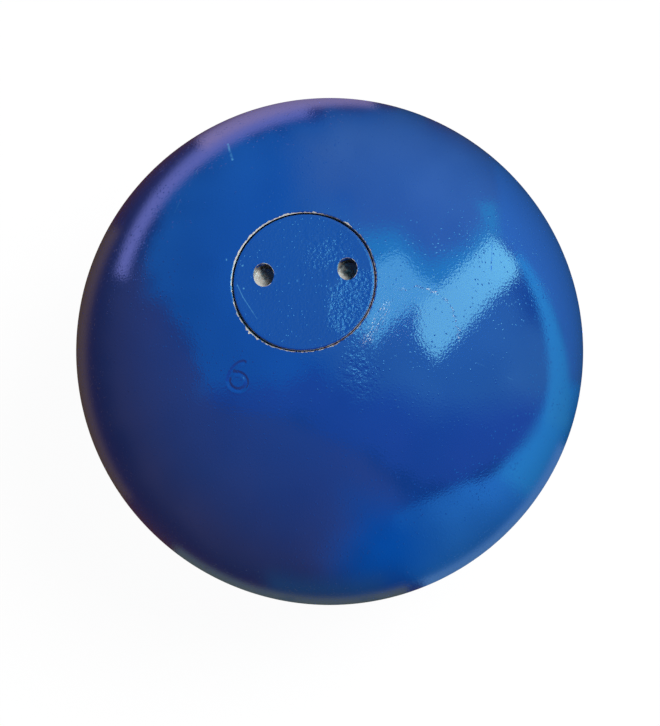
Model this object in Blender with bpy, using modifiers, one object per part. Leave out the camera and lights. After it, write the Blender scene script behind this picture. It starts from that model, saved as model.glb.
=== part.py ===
"""Shot put of 6 kg: a cast-iron ball, bored, brought to weight with lead and closed by a flush screwed plug.

Metres, +Z up. The origin is the lowest point of the ball, and +Z runs out of the plug's face.
The plug's thread is right-handed, so it turns anticlockwise, seen from outside, to come out.
"""

import math

import bmesh
import bpy

MM = 0.001

# Ball
BALL_DIAMETER = 116 * MM
FLOOR_UNDER_CAVITY = 20 * MM  # iron left under the drill point
MOUTH_CHAMFER = 0.3 * MM

# Threaded plug, M30 x 2. Its thread is a plain cylinder here, as wide as its crests, and the tapped bore is
# another, a clearance wider.
PLUG_DIAMETER = 29.8 * MM
THREAD_PITCH = 2 * MM
THREAD_LENGTH = 12 * MM
FACE_ROUNDING = 0.4 * MM

# Step in the bore that the plug is tightened down to
SEAT_WIDTH = 3.2 * MM
WASHER_THICKNESS = 1.5 * MM
SPIGOT_ENTRY = 1.5 * MM  # how far the spigot reaches past the seat into the cavity
SPIGOT_CHAMFER = 0.6 * MM
RELIEF_DEPTH = 0.8 * MM  # groove at the end of the tapped length
RELIEF_WIDTH = 3 * MM

# Two blind holes in the plug's face for a pin spanner, drilled by hand a little off its diameter
SPANNER_PITCH = 17.9 * MM
SPANNER_HOLE_DIAMETER = 4.8 * MM
SPANNER_HOLE_DEPTH = 2.6 * MM  # down to where the drill's cone begins
SPANNER_OFF_X = 0.6 * MM
SPANNER_OFF_Y = 1.8 * MM

# Lead
DISH_DEPTH = 1.6 * MM  # hollow that the lead leaves in its top as it shrinks

# Clearances
FIT_GAP = 0.3 * MM  # between pieces that seat or screw together
WASHER_PASSAGE = 0.1 * MM  # how far the washer's rim stays inside the roots of the plug's thread
CUTTER_REACH = 1 * MM  # how far a cutter stands out of what it cuts

DRILL_HALF_ANGLE = math.radians(59)
THREAD_DEPTH_PER_PITCH = 0.6134  # of an external ISO metric thread
WASHER_EDGE = 0.15 * MM  # worn corner of the washer's rim

ROUND_STEPS = 80
HOLE_STEPS = 24
SHARP_ANGLE = math.radians(30)
MERGE_DISTANCE = 0.001 * MM
UPPER_ARC_STEPS = 20
LOWER_ARC_STEPS = 24
ROUNDING_STEPS = 4
DISH_STEPS = 5

# Radii that follow
BALL_RADIUS = BALL_DIAMETER / 2
PLUG_RADIUS = PLUG_DIAMETER / 2
THREAD_DEPTH = THREAD_PITCH * THREAD_DEPTH_PER_PITCH
BORE_RADIUS = PLUG_RADIUS + FIT_GAP
CAVITY_RADIUS = BORE_RADIUS - SEAT_WIDTH
SPIGOT_RADIUS = CAVITY_RADIUS - FIT_GAP
WASHER_OUTER_RADIUS = PLUG_RADIUS - THREAD_DEPTH - WASHER_PASSAGE
WASHER_INNER_RADIUS = SPIGOT_RADIUS + FIT_GAP

# Heights that follow, from the ball's lowest point
BALL_CENTRE = BALL_RADIUS
FACE = BALL_CENTRE + math.sqrt(BALL_RADIUS**2 - BORE_RADIUS**2)
SHOULDER = FACE - THREAD_LENGTH
WASHER_TOP = SHOULDER - FIT_GAP
SEAT = WASHER_TOP - WASHER_THICKNESS - FIT_GAP
SPIGOT_END = SEAT - SPIGOT_ENTRY
LEAD_TOP = SPIGOT_END - FIT_GAP
CAVITY_TIP = FLOOR_UNDER_CAVITY

# Each finish is a name, a linear colour, a roughness and a metallic value.
ENAMELLED_IRON = ("enamelled_iron", (0.016, 0.09, 0.33), 0.2, 0.0)
ENAMELLED_STEEL = ("enamelled_steel", (0.018, 0.095, 0.34), 0.25, 0.0)
VULCANISED_FIBRE = ("vulcanised_fibre", (0.27, 0.06, 0.035), 0.7, 0.0)
CAST_LEAD = ("cast_lead", (0.2, 0.21, 0.23), 0.55, 1.0)


def clear_scene():
    """Removes every object that the scene starts with."""
    for obj in list(bpy.data.objects):
        bpy.data.objects.remove(obj, do_unlink=True)


def new_collection(name):
    """A collection in the scene's own."""
    collection = bpy.data.collections.new(name)
    bpy.context.scene.collection.children.link(collection)
    return collection


def material(name, colour, roughness, metallic):
    """A Principled material, made once for each name."""
    made = bpy.data.materials.get(name)
    if made is None:
        made = bpy.data.materials.new(name)
        made.use_nodes = True
        shader = made.node_tree.nodes["Principled BSDF"]
        shader.inputs["Base Color"].default_value = (*colour, 1)
        shader.inputs["Roughness"].default_value = roughness
        shader.inputs["Metallic"].default_value = metallic
    return made


def arc(centre, radius, start, end, steps):
    """Points on an arc of the profile plane, ends included. Angles are degrees from the outward radius."""
    angles = (math.radians(start + (end - start) * i / steps) for i in range(steps + 1))
    return [
        (centre[0] + radius * math.cos(a), centre[1] + radius * math.sin(a))
        for a in angles
    ]


def drill_cone_height(radius):
    """How high over its point a drill's cone is as wide as this radius."""
    return radius / math.tan(DRILL_HALF_ANGLE)


def turned(name, outline, height, steps, collection, closed=False):
    """A body turned about Z.

    The outline is (radius, height) points that run down the outer side. Its heights count from the object's
    own origin, which is put on the axis at the height given.
    """
    mesh = bpy.data.meshes.new(name)
    work = bmesh.new()
    points = [work.verts.new((radius, 0, up)) for radius, up in outline]
    for first, second in zip(points, points[1:]):
        work.edges.new((first, second))
    if closed:
        work.edges.new((points[-1], points[0]))
    work.to_mesh(mesh)
    work.free()
    obj = bpy.data.objects.new(name, mesh)
    obj.location = (0, 0, height)
    collection.objects.link(obj)
    turn = obj.modifiers.new("turn", "SCREW")
    turn.axis = "Z"
    turn.steps = steps
    turn.render_steps = steps
    turn.use_merge_vertices = True
    turn.merge_threshold = MERGE_DISTANCE
    return obj


def settle(obj, finish):
    """Keeps an object's finished shape as its mesh, shaded round with sharp corners, in the finish given."""
    shape = obj.evaluated_get(bpy.context.evaluated_depsgraph_get())
    mesh = bpy.data.meshes.new_from_object(shape)
    mesh.name = obj.name
    obj.modifiers.clear()
    obj.data = mesh
    mesh.shade_smooth()
    mesh.set_sharp_from_angle(angle=SHARP_ANGLE)
    mesh.materials.clear()
    mesh.materials.append(material(*finish))


def ball_body(parts):
    """The ball with its stepped bore: tapped counterbore, relief groove, seat and drilled cavity."""
    mouth = BORE_RADIUS + MOUTH_CHAMFER
    mouth_angle = math.degrees(math.acos(mouth / BALL_RADIUS))
    centre = (0, BALL_CENTRE)
    relief_top = SEAT + RELIEF_WIDTH
    relief = BORE_RADIUS + RELIEF_DEPTH
    bore = [
        (0, CAVITY_TIP),
        (CAVITY_RADIUS, CAVITY_TIP + drill_cone_height(CAVITY_RADIUS)),
        (CAVITY_RADIUS, SEAT),
        (relief, SEAT),
        (relief, relief_top - RELIEF_DEPTH),
        (BORE_RADIUS, relief_top),
        (BORE_RADIUS, FACE - MOUTH_CHAMFER),
    ]
    outside = arc(centre, BALL_RADIUS, mouth_angle, 0, UPPER_ARC_STEPS)
    outside += arc(centre, BALL_RADIUS, 0, -90, LOWER_ARC_STEPS)[1:-1]
    outside += [(0, 0)]
    body = turned("ball_body", bore + outside, 0, ROUND_STEPS, parts)
    settle(body, ENAMELLED_IRON)
    return body


def lead_ballast(parts):
    """The lead, which fills the cavity up to just under the plug's spigot. Its top is dished."""
    radius = CAVITY_RADIUS - FIT_GAP
    dish_radius = (radius**2 + DISH_DEPTH**2) / (2 * DISH_DEPTH)
    dish_centre = (0, LEAD_TOP - DISH_DEPTH + dish_radius)
    rim_angle = math.degrees(math.asin(radius / dish_radius)) - 90
    tip = CAVITY_TIP + FIT_GAP / math.sin(DRILL_HALF_ANGLE)
    outline = [(0, LEAD_TOP - DISH_DEPTH)]
    outline += arc(dish_centre, dish_radius, -90, rim_angle, DISH_STEPS)[1:]
    outline += [(radius, tip + drill_cone_height(radius)), (0, tip)]
    ballast = turned("lead_ballast", outline, 0, ROUND_STEPS, parts)
    settle(ballast, CAST_LEAD)
    return ballast


def sealing_washer(parts):
    """A flat fibre ring, carried on the plug's spigot, that the plug is tightened down on."""
    bottom = -WASHER_THICKNESS
    outline = [
        (WASHER_INNER_RADIUS, 0),
        (WASHER_OUTER_RADIUS - WASHER_EDGE, 0),
        (WASHER_OUTER_RADIUS, -WASHER_EDGE),
        (WASHER_OUTER_RADIUS, bottom + WASHER_EDGE),
        (WASHER_OUTER_RADIUS - WASHER_EDGE, bottom),
        (WASHER_INNER_RADIUS, bottom),
    ]
    washer = turned("sealing_washer", outline, WASHER_TOP, ROUND_STEPS, parts, closed=True)
    settle(washer, VULCANISED_FIBRE)
    return washer


def spanner_hole_cutters(cutters):
    """The two drills for the pin spanner's holes, standing on the plug's face."""
    radius = SPANNER_HOLE_DIAMETER / 2
    outline = [
        (0, CUTTER_REACH),
        (radius, CUTTER_REACH),
        (radius, -SPANNER_HOLE_DEPTH),
        (0, -SPANNER_HOLE_DEPTH - drill_cone_height(radius)),
    ]
    drills = []
    for side, place in (("left", -1), ("right", 1)):
        drill = turned(f"spanner_drill_{side}", outline, FACE, HOLE_STEPS, cutters)
        drill.location.x = SPANNER_OFF_X + place * SPANNER_PITCH / 2
        drill.location.y = SPANNER_OFF_Y
        drill.hide_render = True
        drill.display_type = "WIRE"
        drills.append(drill)
    return drills


def threaded_plug(parts, cutters):
    """The plug: a flat face with a rounded rim, the threaded length, a shoulder and a spigot below it."""
    rim_centre = (PLUG_RADIUS - FACE_ROUNDING, -FACE_ROUNDING)
    shoulder = SHOULDER - FACE
    end = SPIGOT_END - FACE
    outline = [(0, 0)]
    outline += arc(rim_centre, FACE_ROUNDING, 90, 0, ROUNDING_STEPS)
    outline += [
        (PLUG_RADIUS, shoulder + THREAD_DEPTH),
        (PLUG_RADIUS - THREAD_DEPTH, shoulder),
        (SPIGOT_RADIUS, shoulder),
        (SPIGOT_RADIUS, end + SPIGOT_CHAMFER),
        (SPIGOT_RADIUS - SPIGOT_CHAMFER, end),
        (0, end),
    ]
    plug = turned("threaded_plug", outline, FACE, ROUND_STEPS, parts)
    for drill in spanner_hole_cutters(cutters):
        cut = plug.modifiers.new(drill.name, "BOOLEAN")
        cut.operation = "DIFFERENCE"
        cut.solver = "EXACT"
        cut.object = drill
    settle(plug, ENAMELLED_STEEL)
    return plug


def carry_together(pieces, name, height, parts):
    """Parents the pieces to an empty on the bore's axis, because they come out along it together."""
    carrier = bpy.data.objects.new(name, None)
    parts.objects.link(carrier)
    carrier.location = (0, 0, height)
    bpy.context.view_layer.update()
    for piece in pieces:
        piece.parent = carrier
        piece.matrix_parent_inverse = carrier.matrix_world.inverted()


def main():
    """Makes the four pieces, from the ball inwards."""
    clear_scene()
    parts = new_collection("shot_put")
    cutters = new_collection("cutters")
    ball_body(parts)
    lead_ballast(parts)
    washer = sealing_washer(parts)
    plug = threaded_plug(parts, cutters)
    carry_together((washer, plug), "plug_lift_axis", SEAT, parts)


main()
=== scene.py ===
"""Looks of a 6 kg shot put: an enamelled cast-iron ball, bored and closed by a flush screwed plug.

Metres, +Z up, with the origin at the ball's lowest point and +Z running out of the plug's face. The packed
construction model gives every size that pieces share. This script gives the surfaces: enamel laid by brush
and worn at the seam, bare turned steel in the thread, bored iron, fibre and lead.
"""

import logging
import math
from dataclasses import dataclass
from enum import Enum
from itertools import product
from typing import Callable, Sequence

import bmesh
import bpy
import numpy as np
from mathutils import Matrix, Vector
from mathutils.geometry import delaunay_2d_cdt


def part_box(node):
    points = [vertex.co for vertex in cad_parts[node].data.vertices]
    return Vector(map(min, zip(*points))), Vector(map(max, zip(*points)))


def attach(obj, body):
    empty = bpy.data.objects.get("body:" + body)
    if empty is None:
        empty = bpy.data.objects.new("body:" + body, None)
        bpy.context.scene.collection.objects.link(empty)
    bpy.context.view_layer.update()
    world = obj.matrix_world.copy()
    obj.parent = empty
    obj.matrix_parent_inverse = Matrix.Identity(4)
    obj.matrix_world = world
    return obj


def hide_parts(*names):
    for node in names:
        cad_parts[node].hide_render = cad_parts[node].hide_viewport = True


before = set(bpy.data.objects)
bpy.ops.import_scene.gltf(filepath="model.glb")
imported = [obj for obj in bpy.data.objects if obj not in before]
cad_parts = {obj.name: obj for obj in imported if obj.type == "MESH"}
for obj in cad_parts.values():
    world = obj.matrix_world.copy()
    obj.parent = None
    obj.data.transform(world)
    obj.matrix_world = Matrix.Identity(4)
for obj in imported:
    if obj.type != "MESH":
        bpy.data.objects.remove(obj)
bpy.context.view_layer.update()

MM = 0.001
MICRON = 0.000001
FULL_TURN = 2 * math.pi
DRILL_HALF_ANGLE = math.radians(59)
BRISTLE_ANGLE = 58.0

# The ball's outline in the photograph's frame, in pixels
LIMB_COLUMN = 329.7
LIMB_ROW = 351.6
LIMB_RADIUS = 253.6

# Sockets of the Mix node, which go by number because their names repeat
MIX_FACTOR = 0
MIX_COLOUR_A = 6
MIX_COLOUR_B = 7
MIX_COLOUR_OUT = 2

log = logging.getLogger("shot_put")


class Body(Enum):
    """The bodies of the construction model that pieces ride on."""

    BALL = "ball"
    PLUG = "plug"


class Slot(Enum):
    """Names of the record's material slots for the enamelled iron and the enamelled steel."""

    ENAMELLED_IRON = "enamelled_iron"
    ENAMELLED_STEEL = "enamelled_steel"


def linear(code: str) -> tuple[float, float, float, float]:
    """Turns an sRGB hex colour to the linear values that a shader takes.

    Args:
        code: The colour as #rrggbb.

    Returns:
        Red, green, blue and an alpha of 1.
    """
    channels = [int(code[i:i + 2], 16) / 255 for i in (1, 3, 5)]
    curved = [c / 12.92 if c <= 0.04045 else ((c + 0.055) / 1.055) ** 2.4 for c in channels]
    return (*curved, 1.0)


def add_node(tree: bpy.types.NodeTree, kind: str, inputs: dict | None = None, **settings) -> bpy.types.Node:
    """Adds one node, with its settings, values and links.

    Args:
        tree: The node tree that it goes into.
        kind: The node's type name in Blender.
        inputs: For an input's name or number, a value, or the socket that feeds it.
        settings: The node's own settings, by name.

    Returns:
        The new node.
    """
    node = tree.nodes.new(kind)
    for name, value in settings.items():
        setattr(node, name, value)
    for key, value in (inputs or {}).items():
        if isinstance(value, bpy.types.NodeSocket):
            tree.links.new(value, node.inputs[key])
        else:
            node.inputs[key].default_value = value
    return node


def start_material(
    name: str
) -> tuple[bpy.types.Material, bpy.types.NodeTree, bpy.types.Node, bpy.types.NodeSocket]:
    """Starts a material.

    Args:
        name: Its name.

    Returns:
        The material, its tree, its shader, and the object's own coordinates.
    """
    made = bpy.data.materials.new(name)
    made.use_nodes = True
    tree = made.node_tree
    place = add_node(tree, "ShaderNodeTexCoord").outputs["Object"]
    return made, tree, tree.nodes["Principled BSDF"], place


def show(name: str, data: bpy.types.ID) -> bpy.types.Object:
    """Puts a mesh, a light or a camera into the scene, as an object of that name."""
    made = bpy.data.objects.new(name, data)
    bpy.context.scene.collection.objects.link(made)
    return made


def hide_from(thing: bpy.types.Object, *rays: str) -> None:
    """Hides an object from the named kinds of ray."""
    for ray in rays:
        setattr(thing, f"visible_{ray}", False)


def grid_faces(number: np.ndarray) -> np.ndarray:
    """The faces of a grid of point numbers, each a row of four."""
    corners = [number[:-1, :-1], number[:-1, 1:], number[1:, 1:], number[1:, :-1]]
    return np.stack(corners, axis=-1).reshape(-1, 4)


def smooth_step(low: float, high: float, value: np.ndarray) -> np.ndarray:
    """Rises smoothly from 0 at low to 1 at high.

    Args:
        low: Where the rise begins.
        high: Where it ends. It may be the smaller number.
        value: The values to look up.

    Returns:
        The share of the rise at each value.
    """
    share = np.clip((value - low) / (high - low), 0, 1)
    return share * share * (3 - 2 * share)


def lattice_noise(points: np.ndarray, wavelength: float, seed: int) -> np.ndarray:
    """Smooth noise with one random value for each corner of a cubic lattice.

    Args:
        points: Places, N x 3.
        wavelength: The lattice's spacing, in the unit of the places.
        seed: Picks the pattern.

    Returns:
        A value from -1 to 1 for each place.
    """
    scaled = points / wavelength
    cell = np.floor(scaled).astype(np.int64)
    share = scaled - cell
    share = share ** 3 * (share * (share * 6 - 15) + 10)
    total = np.zeros(len(points))
    for corner in product((0, 1), repeat=3):
        weight = np.prod(np.where(corner, share, 1 - share), axis=1)
        x, y, z = (cell + corner).astype(np.uint64).T
        # Large odd factors and shifts scramble the corner's place into an even spread of values
        mixed = x * np.uint64(73856093) ^ y * np.uint64(19349663) ^ z * np.uint64(83492791)
        mixed ^= np.uint64(seed * 2654435761)
        mixed ^= mixed >> np.uint64(15)
        mixed *= np.uint64(2246822519)
        mixed ^= mixed >> np.uint64(13)
        mixed *= np.uint64(3266489917)
        mixed ^= mixed >> np.uint64(16)
        total += weight * ((mixed & np.uint64(0xFFFFFF)).astype(float) / 0x7FFFFF - 1)
    return total


def layered_noise(points: np.ndarray, *layers: tuple[float, float, int]) -> np.ndarray:
    """Adds up lattice noise of several sizes.

    Args:
        points: Places, N x 3.
        layers: The share, the wavelength and the seed of each layer.

    Returns:
        The sum at each place.
    """
    return sum(share * lattice_noise(points, wavelength, seed) for share, wavelength, seed in layers)


def round_angles(count: int) -> np.ndarray:
    """Angles of so many columns spread evenly round a turn, from +X."""
    return np.arange(count) * FULL_TURN / count


def circle(radius: float | np.ndarray, height: float | np.ndarray, count: int) -> np.ndarray:
    """Points round the axis.

    Args:
        radius: Their distance from the axis, one for all or one each.
        height: Their height, one for all or one each.
        count: How many points there are.

    Returns:
        The points, count x 3.
    """
    angles = round_angles(count)
    flat = np.broadcast_to(radius, count)
    return np.column_stack([flat * np.cos(angles), flat * np.sin(angles), np.broadcast_to(height, count)])


class Shell:
    """The mesh of a piece, built from rings of points and the strips of faces between them."""

    def __init__(self) -> None:
        """Starts with no points."""
        self.points: list[np.ndarray] = []
        self.painted: dict[str, dict[int, np.ndarray]] = {}
        self.faces: list[list[int]] = []
        self.finishes: list[int] = []
        self.count = 0

    def add(self, points: np.ndarray, **painted: np.ndarray) -> np.ndarray:
        """Adds points.

        Args:
            points: The places, N x 3.
            painted: Values that the shader reads, one for each point, by name.

        Returns:
            The numbers of the new points.
        """
        numbers = np.arange(self.count, self.count + len(points))
        for name, values in painted.items():
            self.painted.setdefault(name, {})[self.count] = values
        self.points.append(points)
        self.count += len(points)
        return numbers

    def fill(self, faces: np.ndarray | list, finish: int) -> None:
        """Adds faces, each a row of point numbers, in one finish."""
        rows = faces.tolist() if isinstance(faces, np.ndarray) else faces
        self.faces.extend(rows)
        self.finishes.extend([finish] * len(rows))

    def strip(self, first: np.ndarray, second: np.ndarray, finish: int = 0) -> None:
        """Joins two rings by a closed strip.

        Args:
            first: The ring that comes first on a walk from the bottom outwards and up.
            second: The next ring, with as many points, half or twice as many, or one.
            finish: The number of the material.
        """
        ahead, beyond = np.roll(first, -1), np.roll(second, -1)
        if len(first) == len(second):
            self.fill(np.column_stack([first, ahead, beyond, second]), finish)
        elif len(second) == 1:
            self.fill(np.column_stack([first, ahead, np.full(len(first), second[0])]), finish)
        elif len(first) == 1:
            self.fill(np.column_stack([np.full(len(second), first[0]), beyond, second]), finish)
        elif len(first) == 2 * len(second):
            start, middle, end = first[::2], first[1::2], np.roll(first, -2)[::2]
            self.fill(np.column_stack([start, middle, second]), finish)
            self.fill(np.column_stack([middle, end, beyond]), finish)
            self.fill(np.column_stack([middle, beyond, second]), finish)
        else:
            start, middle, end = second[::2], second[1::2], np.roll(second, -2)[::2]
            self.fill(np.column_stack([first, middle, start]), finish)
            self.fill(np.column_stack([first, ahead, middle]), finish)
            self.fill(np.column_stack([ahead, end, middle]), finish)

    def extend(
        self, previous: np.ndarray, ring: np.ndarray, finish: int, **painted: np.ndarray
    ) -> np.ndarray:
        """Adds a ring and joins it to the one before.

        Args:
            previous: The numbers of the ring before.
            ring: The new ring's places, N x 3.
            finish: The number of the material.
            painted: Values that the shader reads, one for each new point, by name.

        Returns:
            The numbers of the new ring.
        """
        numbers = self.add(ring, **painted)
        self.strip(previous, numbers, finish)
        return numbers

    def piece(self, name: str, finishes: Sequence[bpy.types.Material], sharp: float) -> bpy.types.Object:
        """Makes the object.

        Args:
            name: The piece's name.
            finishes: Its materials, in the order that the faces count them.
            sharp: Edges that turn by more than this many degrees are shaded sharp.

        Returns:
            The object, in the scene, with points that coincide merged.
        """
        mesh = bpy.data.meshes.new(name)
        mesh.from_pydata(np.concatenate(self.points).tolist(), [], self.faces)
        mesh.polygons.foreach_set("material_index", self.finishes)
        for label, stretches in self.painted.items():
            values = np.ones(self.count, np.float32)
            for start, stretch in stretches.items():
                values[start:start + len(stretch)] = stretch
            mesh.attributes.new(label, "FLOAT", "POINT").data.foreach_set("value", values)
        work = bmesh.new()
        work.from_mesh(mesh)
        bmesh.ops.remove_doubles(work, verts=work.verts, dist=MICRON)
        work.to_mesh(mesh)
        work.free()
        for finish in finishes:
            mesh.materials.append(finish)
        mesh.shade_smooth()
        mesh.set_sharp_from_angle(angle=math.radians(sharp))
        return show(name, mesh)


@dataclass(frozen=True)
class Viewpoint:
    """Where the photograph was taken from, as fitted to the ball's outline and the plug's rim."""

    centre: Vector
    radius: float
    distance: float = 603.2 * MM
    azimuth: float = 17.228
    elevation: float = 73.743
    roll: float = 20.391
    focal_pixels: float = 2625.2
    frame_width: int = 660
    frame_height: int = 726
    centre_column: float = 329.66
    centre_row: float = 351.59
    sensor: float = 36.0

    @property
    def eye(self) -> Vector:
        """The camera's place."""
        return self.centre + self._outward() * self.distance

    def _outward(self) -> Vector:
        """The direction from the ball's centre to the camera."""
        turn, rise = math.radians(self.azimuth), math.radians(self.elevation)
        level = math.cos(rise)
        return Vector((math.sin(turn) * level, -math.cos(turn) * level, math.sin(rise)))

    def axes(self) -> tuple[Vector, Vector, Vector]:
        """The camera's axes.

        Returns:
            The image's right, the image's up, and the direction back towards the camera.
        """
        outward = self._outward()
        level = Vector((0, 0, 1)).cross(outward).normalized()
        roll = math.radians(self.roll)
        up = math.cos(roll) * outward.cross(level) + math.sin(roll) * level
        right = up.cross(outward)
        off_right = self.centre_column - self.frame_width / 2
        off_up = self.frame_height / 2 - self.centre_row
        back = (outward + (right * off_right + up * off_up) / self.focal_pixels).normalized()
        up = (up - back * up.dot(back)).normalized()
        return up.cross(back), up, back

    def ray(self, column: float, row: float) -> Vector:
        """The direction in which the camera sees a pixel of the photograph's frame."""
        right, up, back = self.axes()
        across, above = column - self.frame_width / 2, self.frame_height / 2 - row
        return (right * across + up * above - back * self.focal_pixels).normalized()

    def surface(self, column: float, row: float) -> Vector:
        """The point of the ball under a pixel, or the nearest point of its outline.

        Args:
            column: The pixel's column in the photograph's frame.
            row: Its row.

        Returns:
            The point, from the ball's centre.
        """
        ray, start = self.ray(column, row), self.eye - self.centre
        along = -start.dot(ray)
        reach = max(0.0, self.radius ** 2 - (start + ray * along).length_squared)
        return (start + ray * (along - math.sqrt(reach))).normalized() * self.radius

    def mirrored(self, column: float, row: float, reach: float) -> Vector:
        """The place that a smooth ball shows at a pixel.

        Args:
            column: The pixel's column in the photograph's frame.
            row: Its row.
            reach: How far from the ball's centre the place lies.

        Returns:
            The place.
        """
        point, ray = self.surface(column, row), self.ray(column, row)
        leaving = ray.reflect(point.normalized())
        along = -point.dot(leaving) + math.sqrt(point.dot(leaving) ** 2 + reach ** 2 - self.radius ** 2)
        return self.centre + point + leaving * along

    def glare(self, column: float, row: float) -> float:
        """The share of light that clear enamel mirrors at a pixel, by Schlick's formula."""
        square_on = 0.04
        facing = -self.ray(column, row).dot(self.surface(column, row).normalized())
        return square_on + (1 - square_on) * (1 - max(0.0, facing)) ** 5

    def make_camera(self) -> None:
        """Puts the camera into the scene."""
        lens = bpy.data.cameras.new("camera")
        lens.lens = self.focal_pixels / self.frame_height * self.sensor
        lens.sensor_width = self.sensor
        lens.clip_end = 50
        camera = show("camera", lens)
        camera.matrix_world = Matrix.Translation(self.eye) @ Matrix(self.axes()).transposed().to_4x4()
        bpy.context.scene.camera = camera


@dataclass(frozen=True)
class Card:
    """A lit panel of the studio: where the ball mirrors it, and the colour that this lends the enamel.

    Its edge fades over softness pixels and wanders by ragged pixels. Its mesh has a point every cell pixels.
    """

    name: str
    lends: str
    outline: tuple[tuple[float, float], ...]
    softness: float = 4.0
    cell: float = 6.0
    ragged: float = 0.0


def depth_inside(points: np.ndarray, outline: np.ndarray) -> np.ndarray:
    """How far points lie inside an outline.

    Args:
        points: Places, N x 2.
        outline: The outline's corners, M x 2, in order.

    Returns:
        The distance to the outline, less than zero outside it.
    """
    after = np.roll(outline, -1, axis=0)
    edge = after - outline
    offset = points[:, None, :] - outline
    share = np.clip((offset * edge).sum(-1) / (edge ** 2).sum(-1), 0, 1)
    distance = np.linalg.norm(offset - share[..., None] * edge, axis=-1).min(axis=1)
    column, row = points[:, :1], points[:, 1:]
    spans = (outline[:, 1] > row) != (after[:, 1] > row)
    rise = np.where(edge[:, 1] == 0, 1, edge[:, 1])
    left = column < outline[:, 0] + (row - outline[:, 1]) * edge[:, 0] / rise
    return np.where((spans & left).sum(axis=1) % 2 == 1, distance, -distance)


def limb_band(start: float, end: float, inner: tuple[float, float], outer: tuple[float, float]) -> tuple:
    """An outline that follows the ball's limb in the photograph's frame.

    Args:
        start: The angle in degrees where it starts, counter-clockwise from the image's right.
        end: The angle where it ends.
        inner: Its inner edge at the start and at the end, as shares of the ball's radius.
        outer: Its outer edge there.

    Returns:
        The outline.
    """
    steps = 24
    turn = np.radians(np.linspace(start, end, steps))
    turn = np.concatenate([turn, turn[::-1]])
    reach = LIMB_RADIUS * np.concatenate([np.linspace(*inner, steps), np.linspace(*outer, steps)[::-1]])
    return tuple(zip(LIMB_COLUMN + reach * np.cos(turn), LIMB_ROW - reach * np.sin(turn)))


# The share, the wavelength in pixels and the seed of the noise on a card's edge and on its light
EDGE_LAYERS = ((0.7, 34, 91), (0.5, 15, 92))
CLOUD_LAYERS = ((1.0, 48, 93), (0.6, 19, 94))

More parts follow.
